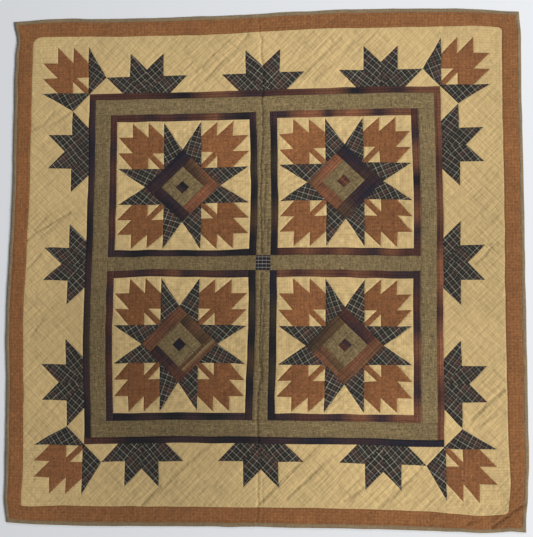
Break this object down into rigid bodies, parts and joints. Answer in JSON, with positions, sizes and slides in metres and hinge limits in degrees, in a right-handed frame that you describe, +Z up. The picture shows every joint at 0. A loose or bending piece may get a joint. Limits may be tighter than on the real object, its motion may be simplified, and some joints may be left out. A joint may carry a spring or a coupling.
{
  "type": "patchwork quilt",
  "caption": "Square pieced star quilt laid out flat, with star blocks, sashing, cream borders of half stars and leaves, a rust border and a narrow binding.",
  "frame": {"origin": "the middle of the underside, at the middle of the laid-out quilt's bounding box", "axes": "+Z up out of the pieced face, +Y towards the head edge, +X towards the right edge seen from above"},
  "size_m": [1.2815, 1.2793, 0.006],
  "materials": {
    "pieced_star": "pieced woven cotton homespuns, matte",
    "olive_homespun": "woven cotton homespun, matte",
    "dark_plaid": "woven cotton plaid, matte",
    "cream_homespun": "slubby woven cotton homespun, matte",
    "rust_plaid": "woven cotton plaid, matte"
  },
  "bodies": {
    "root": {"star_block_head_left": "pieced_star", "star_block_head_right": "pieced_star", "star_block_foot_left": "pieced_star", "star_block_foot_right": "pieced_star", "sash_arm_head": "olive_homespun", "sash_arm_left": "olive_homespun", "sash_arm_foot": "olive_homespun", "sash_arm_right": "olive_homespun", "olive_sash_head": "olive_homespun", "olive_sash_left": "olive_homespun", "olive_sash_foot": "olive_homespun", "olive_sash_right": "olive_homespun", "binding_head": "olive_homespun", "binding_left": "olive_homespun", "binding_foot": "olive_homespun", "binding_right": "olive_homespun", "cornerstone": "dark_plaid", "dark_ring_head": "dark_plaid", "dark_ring_left": "dark_plaid", "dark_ring_foot": "dark_plaid", "dark_ring_right": "dark_plaid", "cream_border_head": "cream_homespun", "cream_border_left": "cream_homespun", "cream_border_foot": "cream_homespun", "cream_border_right": "cream_homespun", "rust_border_head": "rust_plaid", "rust_border_left": "rust_plaid", "rust_border_foot": "rust_plaid", "rust_border_right": "rust_plaid"}
  },
  "joints": []
}
